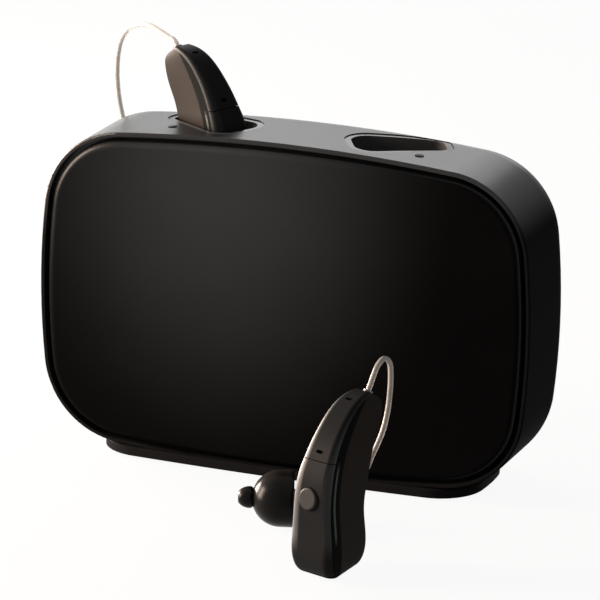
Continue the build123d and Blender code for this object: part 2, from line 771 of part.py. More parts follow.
for side_name, place, route in (
    ("left", left_aid_place, left_wire_route),
    ("right", right_aid_place, right_wire_route),
):
    points = [tuple(plug_face.origin)] + route
    radii = cord_radii(points)
    with BuildPart() as wire:
        with BuildLine() as path:
            FilletPolyline(*points, radius=radii)
        with BuildSketch(Plane(origin=path.line @ 0, z_dir=path.line % 0)):
            Circle(wire_radius)
        sweep()
    length = path.wires()[0].length
    fullness = wire.part.volume / (pi * wire_radius**2 * length)
    print(side_name, "wire length", round(length, 1), "volume over section x length", round(fullness, 3))
    print("  bend radii", [round(radius, 1) for radius in radii])

    # Receiver: a small capsule with a nozzle for the dome
    rear = Plane(origin=path.line @ 1, z_dir=path.line % 1)
    with BuildPart() as receiver:
        with BuildSketch(rear):
            Circle(receiver_radius)
        extrude(amount=receiver_length)
        fillet(receiver.edges(), radius=receiver_edge)
        with BuildSketch(rear.offset(receiver_length)):
            Circle(nozzle_radius)
        extrude(amount=nozzle_length)

    # Ear dome: a thin bell with a stem round the nozzle and a small round tip, turned in one piece
    seat = receiver_length + dome_seat_clearance
    neck = seat + nozzle_length
    tip = neck + dome_tip_length
    crown = neck - sqrt(dome_radius**2 - dome_neck_radius**2)
    lip = crown - dome_skirt_length
    inner_radius = dome_radius - dome_wall
    stem_top = crown + sqrt(inner_radius**2 - dome_stem_radius**2)
    bore = nozzle_radius + dome_seat_clearance
    with BuildPart() as dome:
        with BuildSketch(Plane(origin=rear.origin, x_dir=rear.x_dir, z_dir=-rear.y_dir)):
            with BuildLine():
                Polyline(
                    (inner_radius, crown),
                    (inner_radius, lip),
                    (dome_radius, lip),
                    (dome_radius, crown),
                )
                ThreePointArc(
                    (dome_radius, crown),
                    arc_middle(dome_radius, dome_neck_radius, crown),
                    (dome_neck_radius, neck),
                )
                Line((dome_neck_radius, neck), (dome_tip_radius, neck))
                ThreePointArc(
                    (dome_tip_radius, neck),
                    arc_middle(dome_tip_radius, sound_bore_radius, neck),
                    (sound_bore_radius, tip),
                )
                Polyline(
                    (sound_bore_radius, tip),
                    (sound_bore_radius, neck + dome_seat_clearance),
                    (bore, neck + dome_seat_clearance),
                    (bore, seat),
                    (dome_stem_radius, seat),
                    (dome_stem_radius, stem_top),
                )
                ThreePointArc(
                    (dome_stem_radius, stem_top),
                    arc_middle(inner_radius, dome_stem_radius, crown),
                    (inner_radius, crown),
                )
            make_face()
        revolve(axis=Axis(rear.origin, rear.z_dir))

    pieces = dict(aid_pieces, wire=wire.part, receiver=receiver.part, dome=dome.part)
    for piece_name, piece in pieces.items():
        write(piece.moved(place), f"{side_name}_aid_{piece_name}")
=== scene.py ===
"""Desk charger for a pair of behind-the-ear hearing aids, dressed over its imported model."""

import bpy
from math import acos, cos, radians, sin, sqrt
from mathutils import Matrix, Vector


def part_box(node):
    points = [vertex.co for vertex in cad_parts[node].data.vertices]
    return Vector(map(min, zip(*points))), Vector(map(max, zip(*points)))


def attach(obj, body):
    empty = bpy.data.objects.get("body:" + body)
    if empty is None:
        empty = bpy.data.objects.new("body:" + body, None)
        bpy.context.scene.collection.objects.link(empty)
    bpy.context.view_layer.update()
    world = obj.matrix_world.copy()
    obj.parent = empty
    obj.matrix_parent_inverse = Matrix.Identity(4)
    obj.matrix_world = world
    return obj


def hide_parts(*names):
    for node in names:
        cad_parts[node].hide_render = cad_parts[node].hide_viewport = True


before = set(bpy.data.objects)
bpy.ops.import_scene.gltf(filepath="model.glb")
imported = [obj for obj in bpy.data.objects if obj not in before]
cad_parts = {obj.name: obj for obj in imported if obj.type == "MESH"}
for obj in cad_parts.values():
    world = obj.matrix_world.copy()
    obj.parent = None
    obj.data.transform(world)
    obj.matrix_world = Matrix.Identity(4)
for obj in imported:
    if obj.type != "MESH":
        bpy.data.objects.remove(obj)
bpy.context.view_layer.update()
sides = ("left", "right")

# ---- Camera ----
# A long lens, a little to the right of the front and above the table, as the photograph was taken.
camera_azimuth = radians(21.07)
camera_elevation = radians(16.90)
camera_roll = radians(1.02)
camera_distance = 0.76144
camera_aim = Vector((0.003287, -0.0105, 0.029742))
camera_data = bpy.data.cameras.new("camera")
camera_data.sensor_fit = "HORIZONTAL"
camera_data.sensor_width = 36
camera_data.lens = 293.45
camera = bpy.data.objects.new("camera", camera_data)
camera_turn = (
    Matrix.Rotation(camera_azimuth, 4, "Z")
    @ Matrix.Rotation(radians(90) - camera_elevation, 4, "X")
    @ Matrix.Rotation(camera_roll, 4, "Z")
)
camera.matrix_world = (
    Matrix.Translation(camera_aim + camera_turn @ Vector((0, 0, camera_distance))) @ camera_turn
)
bpy.context.scene.collection.objects.link(camera)
bpy.context.scene.camera = camera
bpy.context.scene.view_settings.view_transform = "Standard"

# ---- Receiver wires ----
# Thin clear-jacketed leads over pale conductors, moulded into the aid's plug at one end and into the
# receiver at the other. Each keeps the curve it was formed to behind the ear.
mix_share, mix_dark, mix_light, mix_result = 0, 6, 7, 2  # a Mix node's colour sockets, by place


class Value:
    """A shader socket that works in plain arithmetic: each operator adds its Math node."""

    def __init__(self, paint, socket):
        self.paint = paint
        self.socket = socket

    def maths(self, operation, first, second):
        return self.paint.node("ShaderNodeMath", {"operation": operation}, {0: first, 1: second})

    def __add__(self, other):
        return self.maths("ADD", self, other)

    def __sub__(self, other):
        return self.maths("SUBTRACT", self, other)

    def __rsub__(self, other):
        return self.maths("SUBTRACT", other, self)

    def __mul__(self, other):
        return self.maths("MULTIPLY", self, other)

    def __gt__(self, other):
        return self.maths("GREATER_THAN", self, other)

    __radd__ = __add__
    __rmul__ = __mul__

    def at_least(self, low):
        return self.maths("MAXIMUM", self, low)

    def between(self, low, high):
        """Stretches a value that runs from 0 to 1 so that it runs from low to high."""
        return self * (high - low) + low


class Paint:
    """The node tree of one material or world, and the one way to add a node to it."""

    def __init__(self, owner):
        self.owner = owner
        self.owner.use_nodes = True
        self.tree = owner.node_tree

    def node(self, kind, settings, sockets, output=0):
        """Adds a node with these settings and inputs, and gives back one of its outputs."""
        made = self.tree.nodes.new(kind)
        for name, value in settings.items():
            setattr(made, name, value)
        self.fill(made, sockets)
        return Value(self, made.outputs[output])

    def fill(self, made, sockets):
        for name, value in sockets.items():
            if isinstance(value, Value):
                self.tree.links.new(value.socket, made.inputs[name])
            else:
                made.inputs[name].default_value = value

    def mix(self, share, dark, light):
        """A colour between two colours, each a triple or a colour that is already mixed."""
        dark, light = (end if isinstance(end, Value) else (*end, 1) for end in (dark, light))
        ends = {mix_share: share, mix_dark: dark, mix_light: light}
        return self.node("ShaderNodeMix", {"data_type": "RGBA"}, ends, mix_result)

    def place(self, centre=(0, 0, 0), turn=(0, 0, 0), scale=(1, 1, 1)):
        """Object coordinates, measured from a centre and turned or stretched about it."""
        point = self.node("ShaderNodeTexCoord", {}, {}, "Object")
        if centre != (0, 0, 0):
            point = self.node(
                "ShaderNodeVectorMath", {"operation": "SUBTRACT"}, {0: point, 1: centre}
            )
        return self.node(
            "ShaderNodeMapping", {}, {"Vector": point, "Rotation": turn, "Scale": scale}
        )

    def noise(self, place, size, detail=2.0):
        """Soft noise from 0 to 1, with patches of about this size."""
        return self.node(
            "ShaderNodeTexNoise", {}, {"Vector": place, "Scale": 1 / size, "Detail": detail}
        )

    def bump(self, height, depth, strength=1.0):
        return self.node(
            "ShaderNodeBump", {}, {"Strength": strength, "Distance": depth, "Height": height}
        )

    def fade(self, amount, start, stop):
        """0 below start, 1 above stop, and smooth between them."""
        return self.node(
            "ShaderNodeMapRange",
            {"interpolation_type": "SMOOTHSTEP"},
            {"Value": amount, "From Min": start, "From Max": stop},
        )

    def along(self, place, axis):
        """One coordinate of a place: X is across, Y front to back, Z upwards."""
        return self.node("ShaderNodeSeparateXYZ", {}, {"Vector": place}, axis)

    def surface(self, **sockets):
        """Sets the sockets of the material's own surface shader, and gives back the material."""
        named = {name.replace("_", " "): value for name, value in sockets.items()}
        self.fill(self.tree.nodes["Principled BSDF"], named)
        return self.owner


wire_paint = Paint(bpy.data.materials.new("wire_jacket"))
wire_place = wire_paint.place()
wire_tone = wire_paint.noise(wire_place, size=0.0022)
wire_strand = wire_paint.noise(wire_place, size=0.0004, detail=1.0)
wire_pale = wire_paint.mix(wire_tone, dark=(0.28, 0.28, 0.28), light=(0.44, 0.41, 0.375))
wire_shade = (0.20, 0.195, 0.19)
wire_shade_share = 0.35
wire_material = wire_paint.surface(
    Base_Color=wire_paint.mix(wire_strand * wire_shade_share, wire_pale, wire_shade),
    Roughness=wire_tone.between(0.22, 0.34),
    Alpha=wire_strand.between(0.5, 0.8),
    Normal=wire_paint.bump(wire_strand, depth=0.00003),
)


def turned_place(place, lean_x, lean_y, turn):
    """Where an aid stands: turned about its own upright, leaned, and moved into place."""
    return (
        Matrix.Translation(place)
        @ Matrix.Rotation(radians(lean_x), 4, "X")
        @ Matrix.Rotation(radians(lean_y), 4, "Y")
        @ Matrix.Rotation(radians(turn), 4, "Z")
    )


aid_place = {
    "left": turned_place((-0.0101, -0.0033, 0.039), lean_x=0.9, lean_y=-2.35, turn=62.4),
    "right": turned_place((0.02115, -0.0513, 0.0), lean_x=1.05, lean_y=-1.2, turn=-20.9),
}
# In the aid's own frame, from the face of its plug to the back of the receiver
wire_route = {
    "left": [
        (0, 0.01363, 0.02605), (0, 0.01417, 0.02695), (0.0001, 0.01555, 0.0271),
        (0.0003, 0.0178, 0.0276), (0.0006, 0.0209, 0.02815), (0.001, 0.0245, 0.0278),
        (0.0015, 0.0278, 0.0264), (0.002, 0.0305, 0.0239), (0.0025, 0.0321, 0.0208),
        (0.0029, 0.033, 0.0175), (0.0033, 0.0333, 0.0141), (0.0037, 0.0331, 0.0108),
        (0.0043, 0.0325, 0.0075), (0.0051, 0.0319, 0.0042), (0.0058, 0.0315, 0.0009),
    ],
    "right": [
        (0, 0.01363, 0.02605), (0, 0.0146, 0.02775), (0, 0.0157, 0.0295), (0, 0.0172, 0.03035),
        (0, 0.0186, 0.0293), (0, 0.01875, 0.0271), (0, 0.0185, 0.0242), (0, 0.0179, 0.0212),
        (-0.0001, 0.0167, 0.0181), (-0.0009, 0.0153, 0.015), (-0.0023, 0.0151, 0.0116),
        (-0.0049, 0.0165, 0.0087), (-0.0079, 0.0185, 0.0063), (-0.011, 0.0199, 0.0047),
        (-0.0135, 0.01895, 0.00408), (-0.0155, 0.0171, 0.00422),
    ],
}
wire_radius = 0.00042
for side in sides:
    route = [aid_place[side] @ Vector(point) for point in wire_route[side]]
    curve = bpy.data.curves.new(f"{side}_ear_wire", "CURVE")
    curve.dimensions = "3D"
    curve.resolution_u = 10
    curve.bevel_depth = wire_radius
    curve.bevel_resolution = 6
    curve.use_fill_caps = True
    line = curve.splines.new("NURBS")
    line.points.add(len(route) - 1)
    for point, spot in zip(line.points, route):
        point.co = (*spot, 1)
    line.order_u = 3
    line.use_endpoint_u = True
    wire = bpy.data.objects.new(f"{side}_ear_wire", curve)
    bpy.context.scene.collection.objects.link(wire)
    curve.materials.append(wire_material)
    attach(wire, f"{side}_aid")
    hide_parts(f"{side}_aid_wire")

# ---- Ear domes ----
# Soft dark silicone bells, each moulded in one piece with a stem that grips the receiver's nozzle
# and a small round tip with the sound hole in it. Heights run from the back of the receiver.
receiver_length = 0.0064
dome_neck = 0.00845
dome_neck_radius = 0.0013
dome_radius = 0.0044
dome_wall = 0.00045
dome_stem_radius = 0.0016
dome_bore_radius = 0.00065
sound_hole_radius = 0.00052
sound_hole_rise = 0.00218
bore_end_rise = 0.00005
# Radius and rise above the neck, from the sound hole over the round tip and into the neck's groove
tip_outline = [
    (sound_hole_radius, sound_hole_rise), (0.00068, 0.0023), (0.00096, 0.00218),
    (0.00126, 0.00186), (0.0015, 0.00144), (0.00165, 0.00096), (0.0017, 0.00052),
    (0.00164, 0.00018), (0.00148, 0.00002), (0.00132, 0.00004),
]
skirt_drops = (0.0007, 0.0014)
skirt_inner_drop = 0.001
lip_height = 0.00225
lip_corner = 0.0001
lip_flare = 0.00002
lip_flare_rise = 0.00012
stem_gap = 0.00005
bell_steps = 12
dome_facets = 72
dome_weld = 0.000005

dome_crown = dome_neck - sqrt(dome_radius**2 - dome_neck_radius**2)
dome_inner_radius = dome_radius - dome_wall
dome_seat = receiver_length + stem_gap
bell_sweep = acos(dome_neck_radius / dome_radius)
hollow_sweep = acos(dome_stem_radius / dome_inner_radius)
dome_profile = [(radius, dome_neck + rise) for radius, rise in tip_outline]
dome_profile += [
    (dome_radius * cos(angle), dome_crown + dome_radius * sin(angle))
    for angle in (bell_sweep * (bell_steps - step) / bell_steps for step in range(1, bell_steps + 1))
]
dome_profile += [(dome_radius, dome_crown - drop) for drop in skirt_drops]
dome_profile += [
    # round the rolled lip and back up inside
    (dome_radius + lip_flare, lip_height + lip_flare_rise),
    (dome_radius - lip_corner, lip_height),
    (dome_inner_radius + lip_corner, lip_height),
    (dome_inner_radius, lip_height + lip_corner),
    (dome_inner_radius, dome_crown - skirt_inner_drop),
]
dome_profile += [
    (dome_inner_radius * cos(angle), dome_crown + dome_inner_radius * sin(angle))
    for angle in (hollow_sweep * step / bell_steps for step in range(bell_steps + 1))
]
dome_profile += [
    # down the stem, in over its end and up the bore to the sound hole
    (dome_stem_radius, dome_seat),
    (dome_bore_radius, dome_seat),
    (dome_bore_radius, dome_neck + bore_end_rise),
    (sound_hole_radius, dome_neck + bore_end_rise),
    (sound_hole_radius, dome_neck + sound_hole_rise),
]

dome_paint = Paint(bpy.data.materials.new("dome_silicone_edge_glow"))
dome_place = dome_paint.place()
dome_cloud = dome_paint.noise(dome_place, size=0.003)
dome_skin = dome_paint.noise(dome_place, size=0.00035)
dome_edge_glow_mask = dome_paint.node("ShaderNodeLayerWeight", {}, {"Blend": 0.25}, "Facing")
dome_body = dome_paint.mix(dome_cloud, dark=(0.0018, 0.0018, 0.0018), light=(0.004, 0.0037, 0.0035))
# Seen edge-on, the colour turns a lighter warm brown. This is a painted glow for light shining
# through the thin silicone, and it follows the view.
dome_painted_edge_glow = (0.034, 0.030, 0.027)
dome_edge_glow_share = 0.6
dome_material = dome_paint.surface(
    Base_Color=dome_paint.mix(dome_edge_glow_mask * dome_edge_glow_share, dome_body, dome_painted_edge_glow),
    Roughness=dome_cloud.between(0.2, 0.32),
    Specular_IOR_Level=0.07,
    Normal=dome_paint.bump(dome_skin, depth=0.000004),
)

for side in sides:
    bpy.ops.object.select_all(action="DESELECT")
    radius_before, height_before = dome_profile[0]
    bpy.ops.mesh.primitive_circle_add(
        vertices=dome_facets, radius=radius_before, location=(0, 0, height_before)
    )
    dome = bpy.context.object
    dome.name = f"{side}_ear_dome"
    bpy.ops.object.transform_apply(location=True)
    bpy.ops.object.mode_set(mode="EDIT")
    bpy.ops.mesh.select_all(action="SELECT")
    for radius, height in dome_profile[1:]:
        bpy.ops.mesh.extrude_edges_move()
        bpy.ops.transform.translate(value=(0, 0, height - height_before))
        growth = radius / radius_before
        bpy.ops.transform.resize(value=(growth, growth, 1), center_override=(0, 0, height))
        radius_before, height_before = radius, height
    bpy.ops.mesh.select_all(action="SELECT")
    bpy.ops.mesh.remove_doubles(threshold=dome_weld)
    bpy.ops.mesh.normals_make_consistent(inside=False)
    bpy.ops.object.mode_set(mode="OBJECT")
    bpy.ops.object.shade_smooth_by_angle(angle=radians(50))
    end, before_end = (aid_place[side] @ Vector(wire_route[side][i]) for i in (-1, -2))
    heading = (end - before_end).to_track_quat("Z", "Y").to_matrix().to_4x4()
    dome.data.transform(Matrix.Translation(end) @ heading)
    dome.data.materials.append(dome_material)
    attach(dome, f"{side}_aid")
    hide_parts(f"{side}_aid_dome")


# ---- Table and light ----
# A plain white sweep in a white room. Two soft lamps stand low on the left, and two behind light the
# charger's top. The room shows at full strength to the eye and in gloss, and lights more gently.
def seen_rays(paint):
    """1 for the rays that show the surroundings, direct or in gloss, and 0 for those that light."""
    rays = paint.node("ShaderNodeLightPath", {}, {}).socket.node.outputs
    seen = Value(paint, rays["Is Camera Ray"]) + Value(paint, rays["Is Glossy Ray"])
    return seen + Value(paint, rays["Is Transmission Ray"])


sweep_size = 4
sweep_drop = 0.0001
sweep_grey = (0.55, 0.55, 0.55, 1)
sweep_glow_share = 0.93
sweep_paint = Paint(bpy.data.materials.new("white_sweep"))
sweep_glow = sweep_paint.node("ShaderNodeEmission", {}, {"Color": (1, 1, 1, 1), "Strength": 1.0})
sweep_matte = sweep_paint.node("ShaderNodeBsdfDiffuse", {}, {"Color": sweep_grey})
sweep_share = seen_rays(sweep_paint) * sweep_glow_share
sweep_blend = sweep_paint.node(
    "ShaderNodeMixShader", {}, {0: sweep_share, 1: sweep_matte, 2: sweep_glow}
)
sweep_paint.fill(sweep_paint.tree.nodes["Material Output"], {"Surface": sweep_blend})

bpy.ops.object.select_all(action="DESELECT")
bpy.ops.mesh.primitive_plane_add(size=sweep_size, location=(0, 0, -sweep_drop))
table = bpy.context.object
table.name = "table"
table.data.materials.append(sweep_paint.owner)

room_fill = 0.24
world = bpy.data.worlds.new("studio")
bpy.context.scene.world = world
room_paint = Paint(world)
room_paint.fill(
    world.node_tree.nodes["Background"],
    {"Color": (1, 1, 1, 1), "Strength": seen_rays(room_paint).between(room_fill, 1)},
)


def soft_lamp(name, place, aim, size, power, colour=(1, 1, 1)):
    """An area lamp of some width and height at a place, facing its aim."""
    lamp_data = bpy.data.lights.new(name, "AREA")
    lamp_data.shape = "RECTANGLE"
    lamp_data.size, lamp_data.size_y = size
    lamp_data.energy = power
    lamp_data.color = colour
    lamp = bpy.data.objects.new(name, lamp_data)
    lamp.location = place
    lamp.rotation_euler = (Vector(aim) - Vector(place)).to_track_quat("-Z", "Y").to_euler()
    bpy.context.scene.collection.objects.link(lamp)


charger_top = (0, 0, 0.05)
soft_lamp("back_top", (-0.28, 0.45, 0.28), aim=charger_top, size=(0.8, 0.3), power=1.7)
soft_lamp("back_low", (-0.25, 0.45, 0.035), aim=charger_top, size=(0.35, 0.07), power=0.2)
soft_lamp(
    "warm_left", (-0.34, -0.14, 0.10),
    aim=(0, -0.02, 0.03), size=(0.12, 0.22), power=4.4, colour=(1.0, 0.80, 0.66),
)
soft_lamp(
    "warm_rim", (-0.30, 0.08, 0.05),
    aim=(0.02, -0.05, 0.015), size=(0.16, 0.12), power=4.6, colour=(1.0, 0.84, 0.72),
)


# ---- Base plate, foot pad and screws ----
# The low foot is moulded satin plastic with a soft rubber pad let into it. Screws and a cast weight
# in the floor hold it together and keep it standing.
def moulded(name, dark, light, roughness, grain_size, grain_depth, **more):
    """Moulded plastic with a fine grain and slightly uneven colour and gloss."""
    unevenness = 0.05
    paint = Paint(bpy.data.materials.new(name))
    place = paint.place()
    drift = paint.noise(place, size=0.011, detail=3.0)
    grain = paint.noise(place, grain_size)
    return paint.surface(
        Base_Color=paint.mix(drift, dark, light),
        Roughness=drift.between(roughness - unevenness, roughness + unevenness),
        Normal=paint.bump(grain, grain_depth, strength=0.5),
        **more,
    )


def metal(name, dark, light, roughness, grain_size, grain_depth, stretch=(1, 1, 1)):
    """Bare metal with fine marks, duller where they show, drawn out by the stretch."""
    dulling = 0.15
    paint = Paint(bpy.data.materials.new(name))
    marks = paint.noise(paint.place(scale=stretch), grain_size, detail=4.0)
    return paint.surface(
        Base_Color=paint.mix(marks, dark, light),
        Metallic=1.0,
        Roughness=marks.between(roughness, roughness + dulling),
        Normal=paint.bump(marks, grain_depth),
    )


def dress(material, *nodes):
    """Gives CAD nodes one material."""
    for node in nodes:
        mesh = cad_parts[node].data
        mesh.materials.clear()
        mesh.materials.append(material)


dress(
    moulded(
        "base_plastic", dark=(0.006, 0.006, 0.0065), light=(0.010, 0.010, 0.0105),
        roughness=0.44, grain_size=0.00016, grain_depth=0.00001, Specular_IOR_Level=0.004,
    ),
    "base_plate",
)
dress(
    moulded(
        "pad_rubber", dark=(0.012, 0.012, 0.012), light=(0.022, 0.022, 0.021),
        roughness=0.78, grain_size=0.0003, grain_depth=0.00004,
    ),
    "rubber_foot",
)
dress(
    metal(
        "plated_screws", dark=(0.42, 0.42, 0.43), light=(0.62, 0.62, 0.63),
        roughness=0.24, grain_size=0.0004, grain_depth=0.000004,
    ),
    "base_screws", "frame_screws", "board_screws",
)
dress(
    metal(
        "cast_weight", dark=(0.10, 0.10, 0.11), light=(0.24, 0.24, 0.25),
        roughness=0.5, grain_size=0.0012, grain_depth=0.00006,
    ),
    "ballast_weight",
)

# ---- Housing ----
# One matte black tub, with a deep band round the cover and a soft rear edge. A satin coat lies over
# its top and thins out down its sides, a little lower on the left.
coat_low, coat_high = 0.043, 0.0535
coat_left_start, coat_left_stop = 0.018, 0.036
coat_left_drop = 0.010
housing_paint = Paint(bpy.data.materials.new("housing_plastic"))
housing_place = housing_paint.place()
housing_leftward = housing_paint.along(housing_place, "X") * -1.0
housing_height = (
    housing_paint.along(housing_place, "Z")
    + housing_paint.fade(housing_leftward, coat_left_start, coat_left_stop) * coat_left_drop
)
housing_drift = housing_paint.noise(housing_place, size=0.011, detail=3.0)
housing_grain = housing_paint.noise(housing_place, size=0.00014)
housing_coat = housing_paint.fade(housing_height, coat_low, coat_high)
dress(
    housing_paint.surface(
        Base_Color=housing_paint.mix(
            housing_drift, dark=(0.0052, 0.0052, 0.0054), light=(0.0085, 0.0085, 0.0088)
        ),
        Roughness=housing_drift.between(0.46, 0.54),
        Specular_IOR_Level=0.001,
        Coat_Weight=housing_coat * housing_drift.between(0.52, 0.62),
        Coat_Roughness=0.32,
        Normal=housing_paint.bump(housing_grain, depth=0.000012, strength=0.5),
    ),
    "main_housing",
)

# ---- Front cover ----
# A crowned plate, smoother than the housing, with a round edge. Its satin coat is thickest over the
# upper middle and thins out towards the right and the bottom.
sheen_centre = (-0.010, -0.0105, 0.048)
sheen_fall = (25.0, 0.0, 20.0)
cover_edge_start, cover_edge_stop = -0.0106, -0.0101
cover_edge_coat = 0.4
cover_paint = Paint(bpy.data.materials.new("cover_plastic"))
cover_place = cover_paint.place()
cover_drift = cover_paint.noise(cover_place, size=0.012, detail=3.0)
cover_grain = cover_paint.noise(cover_place, size=0.00012)
cover_sheen = cover_paint.node(
    "ShaderNodeTexGradient",
    {"gradient_type": "SPHERICAL"},
    {"Vector": cover_paint.place(sheen_centre, scale=sheen_fall)},
)
cover_crown_coat = cover_paint.fade(cover_sheen, 0.0, 1.0) * cover_drift.between(0.6, 0.7)
cover_edge = cover_paint.fade(cover_paint.along(cover_place, "Y"), cover_edge_start, cover_edge_stop)
dress(
    cover_paint.surface(
        Base_Color=cover_paint.mix(
            cover_drift, dark=(0.0014, 0.0014, 0.0015), light=(0.0024, 0.0024, 0.0025)
        ),
        Roughness=cover_drift.between(0.38, 0.46),
        Specular_IOR_Level=0.008,
        Coat_Weight=cover_crown_coat + cover_edge * cover_edge_coat,
        Coat_Roughness=0.34,
        Normal=cover_paint.bump(cover_grain, depth=0.000005, strength=0.5),
    ),
    "front_cover",
)

# ---- Charging pockets and lights ----
# Two wedge cups in polished black plastic, with a satin rim at the narrow end. Their colour is
# painted a lighter grey, a painted reflection for the soft sheen inside the cups. Beside each a clear
# rod brings a small light up to a round dark lens in the housing's top.
narrow_end_start, narrow_end_stop = 0.017, 0.0195
rim_start, rim_stop = 0.0531, 0.0533
rim_coat = 0.2
pocket_paint = Paint(bpy.data.materials.new("pocket_gloss_painted_sheen"))
pocket_place = pocket_paint.place()
pocket_across = pocket_paint.along(pocket_place, "X")
pocket_narrow_end = pocket_paint.fade(
    pocket_across * pocket_across, narrow_end_start**2, narrow_end_stop**2
)
pocket_top = pocket_paint.fade(pocket_paint.along(pocket_place, "Z"), rim_start, rim_stop)
pocket_rim = pocket_top * pocket_narrow_end
pocket_wave = pocket_paint.noise(pocket_place, size=0.004)
dress(
    pocket_paint.surface(
        # the lighter grey is painted reflection over the polished black
        Base_Color=pocket_paint.mix(
            pocket_wave, dark=(0.045, 0.045, 0.045), light=(0.080, 0.080, 0.080)
        ),
        Roughness=pocket_rim.between(0.15, 0.45),
        Specular_IOR_Level=0.06,
        Coat_Weight=pocket_rim * rim_coat,
        Coat_Roughness=0.32,
        Normal=pocket_paint.bump(pocket_wave, depth=0.00004),
    ),
    "pocket_liner_left", "pocket_liner_right",
)
dress(
    moulded(
        "light_rod", dark=(0.020, 0.021, 0.022), light=(0.035, 0.036, 0.037),
        roughness=0.12, grain_size=0.0005, grain_depth=0.000002, Coat_Weight=0.5,
    ),
    "light_guide_left", "light_guide_right",
)

light_across = {"left": -0.0206, "right": 0.0206}
light_depth = -0.0054
lens_radius = 0.00072
lens_thickness = 0.00016
lens_proud = 0.00012
lens_round = 0.00004
top_slope = {"left": radians(-3.97), "right": radians(3.97)}
lens_material = moulded(
    "light_lens", dark=(0.0035, 0.0035, 0.004), light=(0.006, 0.006, 0.0065),
    roughness=0.3, grain_size=0.0002, grain_depth=0.000002, Specular_IOR_Level=0.01,
)
for side in sides:
    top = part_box(f"light_guide_{side}")[1].z
    bpy.ops.object.select_all(action="DESELECT")
    bpy.ops.mesh.primitive_cylinder_add(vertices=48, radius=lens_radius, depth=lens_thickness)
    lens = bpy.context.object
    lens.name = f"light_lens_{side}"
    bpy.ops.object.mode_set(mode="EDIT")
    bpy.ops.mesh.select_all(action="SELECT")
    bpy.ops.mesh.bevel(offset=lens_round, segments=3)
    bpy.ops.object.mode_set(mode="OBJECT")
    bpy.ops.object.shade_smooth_by_angle(angle=radians(40))
    lens_height = top - lens_thickness / 2 + lens_proud
    seat = Matrix.Translation((light_across[side], light_depth, lens_height))
    lens.data.transform(seat @ Matrix.Rotation(top_slope[side], 4, "Y"))
    lens.data.materials.append(lens_material)
    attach(lens, "charger")

chip_fall = (1600, 2600, 0)
chip_window_edge = 0.05
chip_case = (0.72, 0.72, 0.70)
for side in sides:
    paint = Paint(bpy.data.materials.new(f"{side}_light_chip"))
    chip_centre = (light_across[side], light_depth, 0.0)
    window = paint.node(
        "ShaderNodeTexGradient",
        {"gradient_type": "SPHERICAL"},
        {"Vector": paint.place(chip_centre, scale=chip_fall)},
    )
    is_phosphor = window > chip_window_edge
    grain = paint.noise(paint.place(), size=0.0001)
    phosphor = paint.mix(grain, dark=(0.80, 0.66, 0.16), light=(0.9, 0.78, 0.28))
    dress(
        paint.surface(
            Base_Color=paint.mix(is_phosphor, chip_case, phosphor),
            Roughness=is_phosphor.between(0.3, 0.6),
            Normal=paint.bump(grain, depth=0.00001),
        ),
        f"status_led_{side}",
    )

# ---- Inner frame, coils and ferrite ----
# A glass-filled shelf carries both pockets. Under each lies a flat wound coil on a sintered plate,
# which charges the aid through the pocket's floor.
dress(
    moulded(
        "frame_plastic", dark=(0.035, 0.035, 0.037), light=(0.055, 0.055, 0.058),
        roughness=0.6, grain_size=0.0002, grain_depth=0.00002,
    ),
    "inner_frame",
)
ring_step = 0.314  # between the rings of a Wave texture whose scale is 1


def winding(name, centre, turn, pitch):
    """Enamelled copper, wound in rings of this pitch round a centre."""
    paint = Paint(bpy.data.materials.new(name))
    rings = paint.node(
        "ShaderNodeTexWave",
        {"wave_type": "RINGS", "rings_direction": "Z"},
        {"Vector": paint.place(centre, turn), "Scale": ring_step / pitch},
        "Fac",
    )
    sheen = paint.noise(paint.place(), size=0.001)
    wire_top = paint.mix(sheen, dark=(0.72, 0.30, 0.12), light=(0.84, 0.42, 0.2))
    return paint.surface(
        Base_Color=paint.mix(rings, (0.30, 0.10, 0.035), wire_top),
        Metallic=0.85,
        Roughness=sheen.between(0.24, 0.38),
        Normal=paint.bump(rings, depth=0.00006),
    )


def middle(node):
    """The middle of a node's box."""
    low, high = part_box(node)
    return tuple((low + high) / 2)


for side in sides:
    coil = f"charging_coil_{side}"
    dress(winding(f"{side}_dock_winding", middle(coil), turn=(0, 0, 0), pitch=0.00024), coil)
    coil = f"{side}_aid_coil"
    lean = aid_place[side].to_euler()
    upright = (-lean.x, -lean.y, 0)
    dress(winding(f"{side}_aid_winding", middle(coil), turn=upright, pitch=0.00012), coil)

ferrite_paint = Paint(bpy.data.materials.new("sintered_ferrite"))
ferrite_speck = ferrite_paint.noise(ferrite_paint.place(), size=0.00022, detail=4.0)
dress(
    ferrite_paint.surface(
        Base_Color=ferrite_paint.mix(
            ferrite_speck, dark=(0.035, 0.033, 0.035), light=(0.12, 0.115, 0.12)
        ),
        Metallic=0.25,
        Roughness=ferrite_speck.between(0.5, 0.75),
        Normal=ferrite_paint.bump(ferrite_speck, depth=0.00003),
    ),
    "ferrite_plate_left", "ferrite_plate_right",
)


